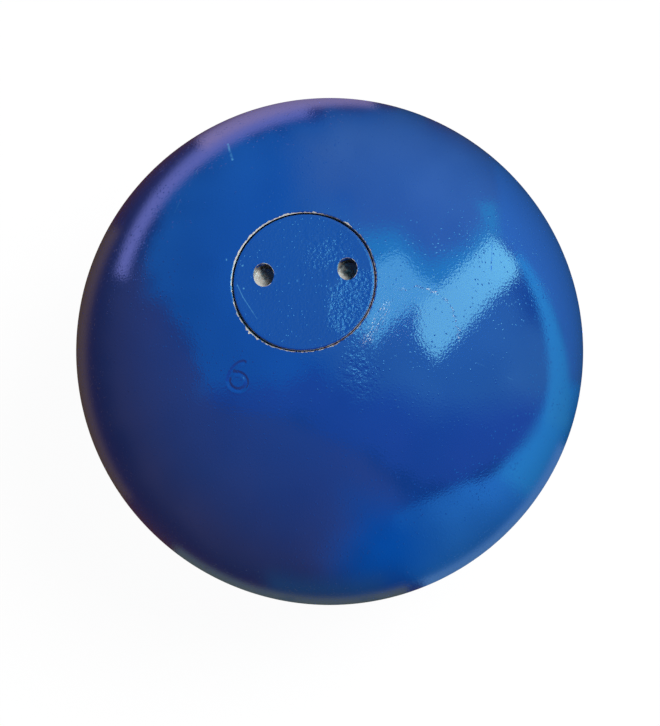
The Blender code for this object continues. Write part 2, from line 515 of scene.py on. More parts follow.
# Corners are pixels of the photograph's frame, and each colour is light that the photograph shows there
# beyond the enamel's own. From the farthest to the nearest, because a nearer card covers what lies behind it
CARDS = (
    Card(
        "ground", "#1e171c",
        (
            (147, 255), (152, 292), (175, 305), (200, 360), (215, 402), (290, 415), (370, 455), (410, 500),
            (330, 580), (230, 580), (150, 500), (115, 420), (105, 340), (115, 270),
        ),
        softness=30, ragged=8,
    ),
    Card(
        "dusk", "#151a42",
        (
            (200, 350), (215, 402), (290, 415), (370, 455), (420, 488), (450, 487), (500, 467), (540, 432),
            (553, 395), (560, 340), (400, 380), (300, 360), (230, 330),
        ),
        softness=12, cell=4, ragged=7,
    ),
    Card(
        "sky", "#0f335e",
        (
            (147, 255), (170, 200), (210, 155), (260, 128), (330, 112), (420, 110), (440, 250), (390, 375),
            (300, 380), (210, 385), (200, 360), (175, 305), (152, 292),
        ),
        softness=20, cell=4, ragged=14,
    ),
    Card(
        "middle", "#213d50",
        (
            (300, 205), (340, 190), (420, 230), (540, 330), (556, 380), (510, 405), (420, 410), (340, 370),
            (300, 330),
        ),
        softness=50, ragged=16,
    ),
    Card(
        "ceiling", "#273c53",
        (
            (300, 145), (340, 118), (400, 108), (460, 116), (520, 150), (530, 260), (470, 285), (400, 270),
            (350, 220), (310, 195),
        ),
        softness=60, ragged=18,
    ),
    Card(
        "right_wall", "#24446a",
        (
            (491, 150), (498, 190), (500, 236), (522, 262), (548, 300), (562, 330), (566, 380), (600, 380),
            (610, 300), (590, 200), (540, 140), (480, 100),
        ),
        softness=4, cell=3,
    ),
    Card(
        "low_wall", "#184876",
        (
            (395, 515), (450, 487), (500, 467), (540, 432), (553, 395), (562, 380), (600, 380), (600, 480),
            (520, 570), (440, 600), (400, 570),
        ),
        softness=8, cell=4, ragged=5,
    ),
    Card("low_wall_end", "#1d5f88", limb_band(-36, -8, (0.82, 0.9), (0.98, 0.98)), softness=20, cell=4),
    Card(
        "pool", "#002d64", ((360, 505), (415, 512), (432, 560), (415, 595), (350, 600), (338, 560)),
        softness=80, ragged=8,
    ),
    Card("bottom", "#163249", limb_band(256, 282, (0.92, 0.92), (0.97, 0.97)), softness=36),
    Card("bottom_limb", "#47504f", limb_band(232, 288, (0.975, 0.97), (1.03, 1.03)), softness=8, cell=3),
    Card("right_limb", "#456c9c", limb_band(-68, -22, (0.97, 0.975), (1.03, 1.03)), softness=8, cell=3),
    Card("rim_strip", "#216285", limb_band(27, -18, (0.815, 0.89), (0.845, 0.985)), softness=6, cell=3),
    Card("violet_strip", "#535387", limb_band(95, 160, (0.93, 0.855), (1.0, 0.9)), softness=9, cell=3),
    Card("violet_top", "#75678a", limb_band(80, 122, (0.98, 0.935), (1.03, 0.99)), softness=9, cell=3),
    Card("left_limb", "#46372a", limb_band(150, 216, (0.955, 0.97), (1.03, 1.03)), softness=10, cell=3),
    Card(
        "window_haze", "#1f5f76",
        (
            (352, 310), (345, 270), (360, 235), (395, 230), (430, 262), (470, 245), (485, 225), (497, 240),
            (480, 270), (440, 290), (400, 300),
        ),
        softness=26, cell=4,
    ),
    Card("wedge", "#225a70", ((478, 204), (496, 202), (499, 234), (489, 234)), softness=8, cell=2),
    Card(
        "window_left", "#46869b",
        (
            (326, 270), (376, 264), (399, 251), (420, 277), (441, 288), (430, 312), (416, 305), (381, 334),
            (369, 350), (366, 335), (352, 322), (326, 326),
        ),
        softness=5, cell=3,
    ),
    Card(
        "window_right", "#5999a8",
        (
            (441, 288), (448, 280), (479, 251), (492, 237), (515, 259), (518, 275), (488, 303), (469, 325),
            (436, 360), (417, 337), (418, 306), (428, 297),
        ),
        softness=3, cell=2,
    ),
)


@dataclass(frozen=True)
class Studio:
    """A pale floor, one soft light, and cards that only the glossy surfaces show."""

    view: Viewpoint
    reach: float = 2.5
    layer: float = 0.02
    floor_radius: float = 6.0
    floor_colour: str = "#454545"
    floor_glow: float = 0.96
    walls: str = "#4c3038"
    cloudiness: float = 0.16
    ambient: float = 0.2
    bounce: float = 0.9
    bounce_begins: float = -0.3
    light_column: float = 445.0
    light_row: float = 262.0
    key_watts: float = 25.0
    key_size: float = 0.9
    key_reach: float = 1.8

    def build(self) -> None:
        """Makes the floor, the light, the cards and the world."""
        self._floor()
        self._key()
        for i, card in enumerate(CARDS):
            self._card(card, self.reach - i * self.layer)
        self._world()
        bpy.context.scene.view_settings.view_transform = "Standard"

    def _light_side(self) -> Vector:
        """The direction that the soft light comes from: square to the ball at the named pixel."""
        return self.view.surface(self.light_column, self.light_row).normalized()

    def _emission(self, card: Card) -> bpy.types.Material:
        """A material that gives off light by the painted value level, as far as the value cover goes.

        Args:
            card: The card that it is for.

        Returns:
            The material.
        """
        made = bpy.data.materials.new(card.name)
        made.use_nodes = True
        tree = made.node_tree
        tree.nodes.clear()
        level = add_node(tree, "ShaderNodeAttribute", attribute_name="level")
        light = add_node(
            tree, "ShaderNodeEmission", {"Color": linear(card.lends), "Strength": level.outputs["Fac"]}
        )
        clear = add_node(tree, "ShaderNodeBsdfTransparent")
        cover = add_node(tree, "ShaderNodeAttribute", attribute_name="cover")
        mixed = add_node(
            tree, "ShaderNodeMixShader", {0: cover.outputs["Fac"], 1: clear.outputs[0], 2: light.outputs[0]}
        )
        add_node(tree, "ShaderNodeOutputMaterial", {"Surface": mixed.outputs[0]})
        return made

    def _card(self, card: Card, reach: float) -> None:
        """Makes one card and hides it from everything but glossy reflections.

        Args:
            card: Its outline and light.
            reach: How far from the ball's centre it stands.
        """
        outline = np.array(card.outline)
        low, high = outline.min(axis=0) - card.softness, outline.max(axis=0) + card.softness
        columns, rows = (np.arange(low[i], high[i] + card.cell, card.cell) for i in (0, 1))
        pixels = np.stack(np.meshgrid(columns, rows), axis=-1)
        flat = np.column_stack([pixels.reshape(-1, 2), np.zeros(pixels.size // 2)])
        inside = depth_inside(flat[:, :2], outline)
        inside += card.ragged * layered_noise(flat, *EDGE_LAYERS)
        cover = smooth_step(-card.softness / 2, card.softness / 2, inside)
        cells = grid_faces(np.arange(cover.size).reshape(pixels.shape[:2]))
        lit = cells[cover[cells].max(axis=1) > 0]
        spots = pixels.reshape(-1, 2).tolist()
        places = [self.view.mirrored(column, row, reach) for column, row in spots]
        level = np.array([1 / self.view.glare(column, row) for column, row in spots])
        level *= 1 + (self.cloudiness * layered_noise(flat, *CLOUD_LAYERS) if card.ragged else 0)
        mesh = bpy.data.meshes.new(card.name)
        mesh.from_pydata(places, [], lit.tolist())
        for label, values in (("cover", cover), ("level", level)):
            mesh.attributes.new(label, "FLOAT", "POINT").data.foreach_set("value", values.astype(np.float32))
        mesh.materials.append(self._emission(card))
        panel = show(card.name, mesh)
        hide_from(panel, "camera", "diffuse", "transmission", "shadow")

    def _floor(self) -> None:
        """Makes the floor, a pale disc that the ball stands on."""
        mesh = bpy.data.meshes.new("floor")
        work = bmesh.new()
        bmesh.ops.create_circle(work, cap_ends=True, segments=96, radius=self.floor_radius)
        work.to_mesh(mesh)
        work.free()
        pale = bpy.data.materials.new("pale_floor")
        pale.use_nodes = True
        shader = pale.node_tree.nodes["Principled BSDF"]
        shader.inputs["Base Color"].default_value = linear(self.floor_colour)
        shader.inputs["Roughness"].default_value = 1.0
        shader.inputs["Specular IOR Level"].default_value = 0.0
        shader.inputs["Emission Color"].default_value = (1, 1, 1, 1)
        shader.inputs["Emission Strength"].default_value = self.floor_glow
        mesh.materials.append(pale)
        floor = show("floor", mesh)
        hide_from(floor, "glossy", "diffuse")

    def _key(self) -> None:
        """Makes the soft light on the image's upper right, which the enamel itself doesn't mirror."""
        light = bpy.data.lights.new("key", "AREA")
        light.shape = "DISK"
        light.size = self.key_size
        light.energy = self.key_watts
        key = show("key", light)
        side = self._light_side()
        key.location = self.view.centre + side * self.key_reach
        key.rotation_euler = side.to_track_quat("Z", "Y").to_euler()
        hide_from(key, "glossy", "camera")

    def _world(self) -> None:
        """Lights matt surfaces from all sides, more from the pale floor, and gives glossy ones dim walls."""
        world = bpy.data.worlds.new("studio")
        world.use_nodes = True
        tree = world.node_tree
        tree.nodes.clear()
        direction = add_node(tree, "ShaderNodeTexCoord").outputs["Generated"]
        height = add_node(tree, "ShaderNodeSeparateXYZ", {0: direction}).outputs["Z"]
        level = add_node(
            tree, "ShaderNodeMapRange",
            {
                "Value": height, "From Min": self.bounce_begins, "From Max": -1.0,
                "To Min": self.ambient, "To Max": self.bounce,
            },
            interpolation_type="SMOOTHSTEP",
        )
        path = add_node(tree, "ShaderNodeLightPath")
        soft = add_node(
            tree, "ShaderNodeMix",
            {
                MIX_FACTOR: path.outputs["Is Diffuse Ray"], MIX_COLOUR_A: linear(self.walls),
                MIX_COLOUR_B: level.outputs[0],
            },
            data_type="RGBA",
        ).outputs[MIX_COLOUR_OUT]
        seen = add_node(
            tree, "ShaderNodeMix",
            {MIX_FACTOR: path.outputs["Is Camera Ray"], MIX_COLOUR_A: soft, MIX_COLOUR_B: (1, 1, 1, 1)},
            data_type="RGBA",
        ).outputs[MIX_COLOUR_OUT]
        background = add_node(tree, "ShaderNodeBackground", {"Color": seen})
        add_node(tree, "ShaderNodeOutputWorld", {"Surface": background.outputs[0]})
        bpy.context.scene.world = world


@dataclass(frozen=True)
class Scratch:
    """A fine scuff in the gloss, in millimetres in the object's frame: how pale it is, and how dull."""

    start: tuple[float, float, float]
    end: tuple[float, float, float]
    width: float
    pale: float
    dull: float = 0.0
    wear_size: float = 1.5 * MM

    def mask(self, tree: bpy.types.NodeTree, place: bpy.types.NodeSocket) -> bpy.types.NodeSocket:
        """Where the scuff is.

        Args:
            tree: The material's tree.
            place: The object's own coordinates.

        Returns:
            From 0 beside the scuff to 1 on its middle.
        """
        start, run = Vector(self.start) * MM, (Vector(self.end) - Vector(self.start)) * MM
        along_run = run / run.length_squared
        offset = add_node(tree, "ShaderNodeVectorMath", {0: place, 1: start}, operation="SUBTRACT").outputs[0]
        share = add_node(tree, "ShaderNodeVectorMath", {0: offset, 1: along_run}, operation="DOT_PRODUCT")
        share = add_node(tree, "ShaderNodeClamp", {"Value": share.outputs["Value"]}).outputs[0]
        foot = add_node(tree, "ShaderNodeVectorMath", {0: run, "Scale": share}, operation="SCALE").outputs[0]
        away = add_node(tree, "ShaderNodeVectorMath", {0: offset, 1: foot}, operation="DISTANCE")
        line = add_node(
            tree, "ShaderNodeMapRange",
            {"Value": away.outputs["Value"], "From Min": self.width * MM / 2, "From Max": 0.0},
            interpolation_type="SMOOTHSTEP",
        ).outputs[0]
        worn = add_node(tree, "ShaderNodeTexNoise", {"Vector": place, "Scale": 1 / self.wear_size}).outputs["Fac"]
        broken = add_node(
            tree, "ShaderNodeMapRange", {"Value": worn, "From Min": 0.3, "From Max": 0.55}
        ).outputs[0]
        return add_node(tree, "ShaderNodeMath", {0: line, 1: broken}, operation="MULTIPLY").outputs[0]


@dataclass(frozen=True)
class AlkydEnamel:
    """Oil-based gloss enamel, brushed on in two coats. It gives the eye deep blue under a wet clear shine."""

    name: str
    scratches: tuple[Scratch, ...]
    colour: str = "#0c4aa2"
    deep: str = "#0a4098"
    scuffed: str = "#5fb0e0"
    # Pale colour painted in as highlights, for glints of the sun on the paint's ridges
    painted_glint_colour: str = "#e6eef4"
    bare: str = "#dcd8cf"
    rust: str = "#84594a"
    # Black painted in as shade, in the seam's gap and on the pits' shaded sides
    painted_shade: str = "#15120f"
    roughness: float = 0.09
    bare_roughness: float = 0.6
    peel_size: float = 0.5 * MM
    peel_depth: float = 18 * MICRON
    pebble_size: float = 0.5 * MM
    pebble_depth: float = 130 * MICRON
    streak_angle: float = BRISTLE_ANGLE
    streak_width: float = 0.22 * MM
    streak_length: float = 2.4 * MM
    streak_depth: float = 30 * MICRON
    # Size of the painted highlight specks
    painted_glint_size: float = 0.24 * MM
    nib_spacing: float = 1.0 * MM
    nib_size: float = 0.25 * MM
    nib_height: float = 58 * MICRON
    sag_centre: tuple[float, float, float] = (23.0 * MM, -11.6 * MM, 109.9 * MM)
    sag_radius: float = 9.6 * MM
    sag_drift: float = 1.2 * MM
    sag_width: float = 0.34 * MM
    sag_height: float = 40 * MICRON
    sag_bend_size: float = 1.6 * MM
    sag_break_size: float = 0.5 * MM
    cloud_size: float = 22 * MM
    stain_size: float = 0.9 * MM
    nib_group_size: float = 5 * MM

    def material(self) -> bpy.types.Material:
        """Makes the material.

        Returns:
            A glossy blue that gives way to bare, rusting metal where the painted value film is low.
        """
        made, tree, shader, place = start_material(self.name)
        film, pebbled, streaked = (
            add_node(tree, "ShaderNodeAttribute", attribute_name=name).outputs["Fac"]
            for name in ("film", "pebbled", "streaked")
        )
        streaks, run = self._streaks(tree, place), self._sag(tree, place)
        blue, dull = self._paint(tree, place, self._painted_glints(tree, place, streaks, streaked, run))
        cover = add_node(
            tree, "ShaderNodeMapRange",
            {"Value": film, "From Min": 0.4, "From Max": 0.6},
            interpolation_type="SMOOTHSTEP",
        ).outputs[0]
        colour = add_node(
            tree, "ShaderNodeMix",
            {MIX_FACTOR: cover, MIX_COLOUR_A: self._bare_metal(tree, place), MIX_COLOUR_B: blue},
            data_type="RGBA",
        ).outputs[MIX_COLOUR_OUT]
        tree.links.new(colour, shader.inputs["Base Color"])
        gloss = add_node(
            tree, "ShaderNodeMapRange",
            {"Value": cover, "To Min": self.bare_roughness, "To Max": self.roughness},
        ).outputs[0]
        rough = add_node(tree, "ShaderNodeMath", {0: gloss, 1: dull}, operation="ADD").outputs[0]
        tree.links.new(rough, shader.inputs["Roughness"])
        relief = (
            (self._peel(tree, place), self.peel_depth, 1.0),
            (self._pebbles(tree, place), self.pebble_depth, pebbled),
            (streaks, self.streak_depth, streaked),
            (self._nibs(tree, place), self.nib_height, 1.0),
            (run, self.sag_height, 1.0),
        )
        normal = None
        for height, depth, strength in relief:
            inputs = {"Height": height, "Distance": depth, "Strength": strength}
            if normal is not None:
                inputs["Normal"] = normal
            normal = add_node(tree, "ShaderNodeBump", inputs).outputs[0]
        tree.links.new(normal, shader.inputs["Normal"])
        shader.inputs["IOR"].default_value = 1.5
        return made

    def _paint(
        self, tree: bpy.types.NodeTree, place: bpy.types.NodeSocket, painted_glints: bpy.types.NodeSocket
    ) -> tuple[bpy.types.NodeSocket, bpy.types.NodeSocket | float]:
        """The paint's colour, with its clouds and scuffs, and pale specks painted in as highlights.

        Args:
            tree: The material's tree.
            place: The object's own coordinates.
            painted_glints: Where the pale specks are painted in as highlights.

        Returns:
            The colour, and what the scuffs add to the roughness.
        """
        clouds = add_node(
            tree, "ShaderNodeTexNoise", {"Vector": place, "Scale": 1 / self.cloud_size, "Detail": 2.0}
        ).outputs["Fac"]
        blue = add_node(
            tree, "ShaderNodeMix",
            {MIX_FACTOR: clouds, MIX_COLOUR_A: linear(self.colour), MIX_COLOUR_B: linear(self.deep)},
            data_type="RGBA",
        ).outputs[MIX_COLOUR_OUT]
        dull = 0.0
        for scratch in self.scratches:
            mask = scratch.mask(tree, place)
            pale = add_node(
                tree, "ShaderNodeMath", {0: mask, 1: scratch.pale}, operation="MULTIPLY"
            ).outputs[0]
            blue = add_node(
                tree, "ShaderNodeMix",
                {MIX_FACTOR: pale, MIX_COLOUR_A: blue, MIX_COLOUR_B: linear(self.scuffed)},
                data_type="RGBA",
            ).outputs[MIX_COLOUR_OUT]
            dull = add_node(
                tree, "ShaderNodeMath", {0: mask, 1: scratch.dull, 2: dull}, operation="MULTIPLY_ADD"
            ).outputs[0]
        # Painted highlights: pale specks mixed into the colour
        blue = add_node(
            tree, "ShaderNodeMix",
            {MIX_FACTOR: painted_glints, MIX_COLOUR_A: blue, MIX_COLOUR_B: linear(self.painted_glint_colour)},
            data_type="RGBA",
        ).outputs[MIX_COLOUR_OUT]
        return blue, dull

    def _bare_metal(self, tree: bpy.types.NodeTree, place: bpy.types.NodeSocket) -> bpy.types.NodeSocket:
        """The metal that chipped paint has left: pale where scraped, rusty in spots, black as painted shade.

        Args:
            tree: The material's tree.
            place: The object's own coordinates.

        Returns:
            Its colour, by the painted values for rust and for painted shade.
        """
        rusty, dirty = (
            add_node(tree, "ShaderNodeAttribute", attribute_name=name).outputs["Fac"]
            for name in ("rusty", "dirty")
        )
        stain = add_node(
            tree, "ShaderNodeTexNoise", {"Vector": place, "Scale": 1 / self.stain_size, "Detail": 5.0}
        )
        spots = add_node(
            tree, "ShaderNodeMapRange",
            {"Value": stain.outputs["Fac"], "From Min": 0.4, "From Max": 0.6, "To Max": rusty},
        ).outputs[0]
        metal = add_node(
            tree, "ShaderNodeMix",
            {MIX_FACTOR: spots, MIX_COLOUR_A: linear(self.bare), MIX_COLOUR_B: linear(self.rust)},
            data_type="RGBA",
        ).outputs[MIX_COLOUR_OUT]
        # Painted shade: black mixed over the bare metal by the value for shade
        return add_node(
            tree, "ShaderNodeMix",
            {MIX_FACTOR: dirty, MIX_COLOUR_A: metal, MIX_COLOUR_B: linear(self.painted_shade)},
            data_type="RGBA",
        ).outputs[MIX_COLOUR_OUT]

    def _painted_glints(
        self, tree: bpy.types.NodeTree, place: bpy.types.NodeSocket, streaks: bpy.types.NodeSocket,
        streaked: bpy.types.NodeSocket, run: bpy.types.NodeSocket,
    ) -> bpy.types.NodeSocket:
        """Painted highlights: pale specks in the colour on the brush's ridges and along the run's edge.

        Args:
            tree: The material's tree.
            place: The object's own coordinates.
            streaks: The height of the bristles' ridges.
            streaked: Where those ridges are.
            run: The height of the run's edge.

        Returns:
            From 0 for none to 1 for a painted highlight speck.
        """
        grain = add_node(
            tree, "ShaderNodeTexNoise", {"Vector": place, "Scale": 1 / self.painted_glint_size, "Detail": 1.0}
        ).outputs["Fac"]
        speck = add_node(
            tree, "ShaderNodeMapRange", {"Value": grain, "From Min": 0.52, "From Max": 0.62}
        ).outputs[0]
        ridges = add_node(
            tree, "ShaderNodeMapRange",
            {"Value": streaks, "From Min": 0.52, "From Max": 0.62, "To Max": streaked},
        ).outputs[0]
        dragged = add_node(tree, "ShaderNodeMath", {0: ridges, 1: run}, operation="MAXIMUM").outputs[0]
        return add_node(tree, "ShaderNodeMath", {0: speck, 1: dragged}, operation="MULTIPLY").outputs[0]

    def _peel(self, tree: bpy.types.NodeTree, place: bpy.types.NodeSocket) -> bpy.types.NodeSocket:
        """Orange peel, the fine unevenness that brushed enamel dries with."""
        inputs = {"Vector": place, "Scale": 1 / self.peel_size, "Detail": 1.0}
        return add_node(tree, "ShaderNodeTexNoise", inputs).outputs["Fac"]

    def _pebbles(self, tree: bpy.types.NodeTree, place: bpy.types.NodeSocket) -> bpy.types.NodeSocket:
        """Pebbles of half-dry paint that was brushed again."""
        inputs = {"Vector": place, "Scale": 1 / self.pebble_size, "Detail": 2.0}
        return add_node(tree, "ShaderNodeTexNoise", inputs).outputs["Fac"]

    def _streaks(self, tree: bpy.types.NodeTree, place: bpy.types.NodeSocket) -> bpy.types.NodeSocket:
        """Ridges that the brush's bristles left, side by side in one direction.

        Args:
            tree: The material's tree.
            place: The object's own coordinates.

        Returns:
            Their height.
        """
        turned = add_node(
            tree, "ShaderNodeVectorRotate", {"Vector": place, "Angle": -math.radians(self.streak_angle)},
            rotation_type="Z_AXIS",
        ).outputs[0]
        drawn = add_node(
            tree, "ShaderNodeVectorMath",
            {0: turned, 1: (1 / self.streak_length, 1 / self.streak_width, 1 / self.streak_length)},
            operation="MULTIPLY",
        ).outputs[0]
        inputs = {"Vector": drawn, "Scale": 1.0, "Detail": 2.0}
        return add_node(tree, "ShaderNodeTexNoise", inputs).outputs["Fac"]

    def _nibs(self, tree: bpy.types.NodeTree, place: bpy.types.NodeSocket) -> bpy.types.NodeSocket:
        """Grains of dust under the paint, in loose groups.

        Args:
            tree: The material's tree.
            place: The object's own coordinates.

        Returns:
            Their height.
        """
        grain = add_node(tree, "ShaderNodeTexVoronoi", {"Vector": place, "Scale": 1 / self.nib_spacing})
        dome = add_node(
            tree, "ShaderNodeMapRange",
            {
                "Value": grain.outputs["Distance"], "From Min": self.nib_size / self.nib_spacing,
                "From Max": 0.0,
            },
            interpolation_type="SMOOTHSTEP",
        )
        groups = add_node(
            tree, "ShaderNodeTexNoise", {"Vector": place, "Scale": 1 / self.nib_group_size, "Detail": 2.0}
        )
        share = add_node(
            tree, "ShaderNodeMapRange", {"Value": groups.outputs["Fac"], "From Min": 0.34, "From Max": 0.62}
        )
        return add_node(
            tree, "ShaderNodeMath", {0: dome.outputs[0], 1: share.outputs[0]}, operation="MULTIPLY"
        ).outputs[0]

    def _sag(self, tree: bpy.types.NodeTree, place: bpy.types.NodeSocket) -> bpy.types.NodeSocket:
        """The edge of a run in the paint, a thin raised arc to the right of the plug.

        Args:
            tree: The material's tree.
            place: The object's own coordinates.

        Returns:
            Its height.
        """
        away = add_node(
            tree, "ShaderNodeVectorMath", {0: place, 1: self.sag_centre}, operation="DISTANCE"
        ).outputs["Value"]
        off = add_node(tree, "ShaderNodeMath", {0: away, 1: self.sag_radius}, operation="SUBTRACT").outputs[0]
        bends = add_node(
            tree, "ShaderNodeTexNoise", {"Vector": place, "Scale": 1 / self.sag_bend_size, "Detail": 3.0}
        )
        drift = add_node(
            tree, "ShaderNodeMapRange",
            {"Value": bends.outputs["Fac"], "To Min": -self.sag_drift, "To Max": self.sag_drift},
        ).outputs[0]
        off = add_node(tree, "ShaderNodeMath", {0: off, 1: drift}, operation="ADD").outputs[0]
        near = add_node(tree, "ShaderNodeMath", {0: off}, operation="ABSOLUTE").outputs[0]
        ridge = add_node(
            tree, "ShaderNodeMapRange", {"Value": near, "From Min": self.sag_width, "From Max": 0.0},
            interpolation_type="SMOOTHSTEP",
        ).outputs[0]
        side = add_node(
            tree, "ShaderNodeVectorMath", {0: place, 1: self.sag_centre}, operation="SUBTRACT"
        ).outputs[0]
        facing = add_node(
            tree, "ShaderNodeVectorMath", {0: side, 1: (0.7 / self.sag_radius, 0.7 / self.sag_radius, 0.0)},
            operation="DOT_PRODUCT",
        ).outputs["Value"]
        part = add_node(
            tree, "ShaderNodeMapRange", {"Value": facing, "From Min": 0.35, "From Max": 0.75}
        ).outputs[0]
        uneven = add_node(
            tree, "ShaderNodeTexNoise", {"Vector": place, "Scale": 1 / self.sag_break_size}
        ).outputs["Fac"]
        breaks = add_node(
            tree, "ShaderNodeMapRange", {"Value": uneven, "From Min": 0.45, "From Max": 0.6}
        ).outputs[0]
        shown = add_node(tree, "ShaderNodeMath", {0: ridge, 1: part}, operation="MULTIPLY").outputs[0]
        return add_node(tree, "ShaderNodeMath", {0: shown, 1: breaks}, operation="MULTIPLY").outputs[0]


@dataclass(frozen=True)
class BareMetal:
    """Machined metal without paint. It gives the eye fine tool marks and a dull grey with brown in it."""

    name: str
    colour: str
    stain: str
    roughness: float
    metallic: float
    mark_spacing: float
    mark_height: float
    patch_size: float = 2.4 * MM

    def material(self) -> bpy.types.Material:
        """Makes the material.

        Returns:
            A metal with rings left by the tool and patches of stain.
        """
        made, tree, shader, place = start_material(self.name)
        patches = add_node(
            tree, "ShaderNodeTexNoise", {"Vector": place, "Scale": 1 / self.patch_size, "Detail": 5.0}
        )
        share = add_node(
            tree, "ShaderNodeMapRange",
            {"Value": patches.outputs["Fac"], "From Min": 0.45, "From Max": 0.7},
            interpolation_type="SMOOTHSTEP",
        ).outputs[0]
        colour = add_node(
            tree, "ShaderNodeMix",
            {MIX_FACTOR: share, MIX_COLOUR_A: linear(self.colour), MIX_COLOUR_B: linear(self.stain)},
            data_type="RGBA",
        ).outputs[MIX_COLOUR_OUT]
        tree.links.new(colour, shader.inputs["Base Color"])
        sheen = add_node(
            tree, "ShaderNodeMapRange",
            {"Value": share, "To Min": self.roughness, "To Max": min(1.0, self.roughness + 0.25)},
        )
        tree.links.new(sheen.outputs[0], shader.inputs["Roughness"])
        shader.inputs["Metallic"].default_value = self.metallic
        split = add_node(tree, "ShaderNodeSeparateXYZ", {0: place})
        marks = add_node(
            tree, "ShaderNodeMath", {0: split.outputs["Z"], 1: FULL_TURN / self.mark_spacing},
            operation="MULTIPLY",
        )
        wave = add_node(tree, "ShaderNodeMath", {0: marks.outputs[0]}, operation="SINE")
        rings = add_node(
            tree, "ShaderNodeBump",
            {"Height": wave.outputs[0], "Distance": self.mark_height, "Strength": 1.0},
        ).outputs[0]
        tree.links.new(rings, shader.inputs["Normal"])
        return made


@dataclass(frozen=True)
class MouldedStuff:
    """A dull one-piece stuff such as pressed fibre or cast lead. It gives the eye soft mottling."""

    name: str
    colour: str
    shade: str
    roughness: float
    metallic: float
    grain: float
    height: float

    def material(self) -> bpy.types.Material:
        """Makes the material.

        Returns:
            A mottled surface with a fine grain.
        """
        made, tree, shader, place = start_material(self.name)
        grain = add_node(
            tree, "ShaderNodeTexNoise", {"Vector": place, "Scale": 1 / self.grain, "Detail": 5.0}
        ).outputs["Fac"]
        colour = add_node(
            tree, "ShaderNodeMix",
            {MIX_FACTOR: grain, MIX_COLOUR_A: linear(self.colour), MIX_COLOUR_B: linear(self.shade)},
            data_type="RGBA",
        ).outputs[MIX_COLOUR_OUT]
        tree.links.new(colour, shader.inputs["Base Color"])
        shader.inputs["Roughness"].default_value = self.roughness
        shader.inputs["Metallic"].default_value = self.metallic
        bump = add_node(
            tree, "ShaderNodeBump",
            {"Height": grain, "Distance": self.height, "Strength": 1.0},
        ).outputs[0]
        tree.links.new(bump, shader.inputs["Normal"])
        return made


BALL_ENAMEL = AlkydEnamel(
    "brushed_alkyd_enamel_on_iron",
    (
        Scratch((-16.8, 37.1, 99.3), (-15.3, 31.6, 104.2), 0.8, 0.9),
        Scratch((-23.5, 30.7, 101.2), (-28.2, 20.6, 104.4), 0.6, 0.22),
        Scratch((35.0, -16.7, 101.2), (42.1, -18.8, 93.3), 0.35, 0.2),
        Scratch((47.5, 2.6, 91.2), (49.6, -1.5, 87.9), 0.35, 0.2),
        Scratch((-16.2, 6.2, 113.3), (-16.1, 6.0, 113.3), 0.5, 1.0),
        Scratch((39.5, 10.7, 99.1), (39.0, 3.7, 100.8), 0.55, 0.0, 0.4),
    ),
)
PLUG_ENAMEL = AlkydEnamel(
    "brushed_alkyd_enamel_on_steel",
    (
        Scratch((-14.0, 0.3, 113.9), (-12.9, -2.5, 113.9), 0.3, 0.6),
        Scratch((-12.9, -2.5, 113.9), (-10.1, -7.4, 113.9), 0.3, 0.5),
        Scratch((-12.8, 4.4, 113.9), (-12.75, 4.35, 113.9), 0.5, 1.0),
        Scratch((-12.7, -0.6, 113.9), (-12.65, -0.65, 113.9), 0.55, 1.0),
        Scratch((-4.5, 13.4, 113.9), (-4.45, 13.35, 113.9), 0.4, 0.6),
        Scratch((5.7, -3.6, 113.9), (5.95, -3.4, 113.9), 0.5, 1.0),
        Scratch((-0.95, 0.3, 113.9), (-0.9, 0.45, 113.9), 0.8, 0.35, 0.4),
    ),
    colour="#0e4ea6",
    pebble_depth=230 * MICRON,
)
TURNED_STEEL = BareMetal("turned_mild_steel", "#9a9a96", "#6b5d52", 0.34, 1.0, 0.18 * MM, 3 * MICRON)
BORED_IRON = BareMetal("bored_grey_iron", "#6d6c6a", "#4a3a30", 0.5, 1.0, 0.3 * MM, 4 * MICRON)
VULCANISED_FIBRE = MouldedStuff("vulcanised_fibre", "#7d3426", "#632519", 0.7, 0.0, 0.5 * MM, 12 * MICRON)
CAST_LEAD = MouldedStuff("cast_lead", "#7d8086", "#5f6268", 0.55, 1.0, 1.8 * MM, 40 * MICRON)


@dataclass(frozen=True)
class Fit:
    """Sizes that pieces share, read from the construction model, and the thread that joins them."""

    ball_radius: float
    face: float
    plug_radius: float
    plug_end: float
    seat: float
    lead_radius: float
    gap: float = 0.3 * MM
    pitch: float = 2.0 * MM
    thread_length: float = 12.0 * MM
    thread_start: float = 0.9 * MM
    thread_root: float = 13.673 * MM
    bore_crest: float = 13.95 * MM
    bore_root: float = 15.1 * MM
    bore_root_flat: float = 0.36 * MM
    chamfer: float = 0.3 * MM
    relief_depth: float = 0.8 * MM
    relief_width: float = 3.0 * MM
    cavity_tip: float = 20.0 * MM

    @classmethod
    def from_frame(cls) -> "Fit":
        """Reads the sizes of the nodes."""
        ball_low, ball_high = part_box("ball_body")
        plug_low, plug_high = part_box("threaded_plug")
        washer_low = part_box("sealing_washer")[0]
        lead_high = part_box("lead_ballast")[1]
        return cls(
            ball_radius=(ball_high.x - ball_low.x) / 2,
            face=plug_high.z,
            plug_radius=(plug_high.x - plug_low.x) / 2,
            plug_end=plug_low.z,
            seat=washer_low.z - cls.gap,
            lead_radius=lead_high.x,
        )

    @property
    def bore_radius(self) -> float:
        """The tapped bore, over the roots of its thread."""
        return self.plug_radius + self.gap

    @property
    def cavity_radius(self) -> float:
        """The drilled cavity under the seat."""
        return self.lead_radius + self.gap

    @property
    def shoulder(self) -> float:
        """The height of the plug's shoulder, where its thread begins."""
        return self.face - self.thread_length


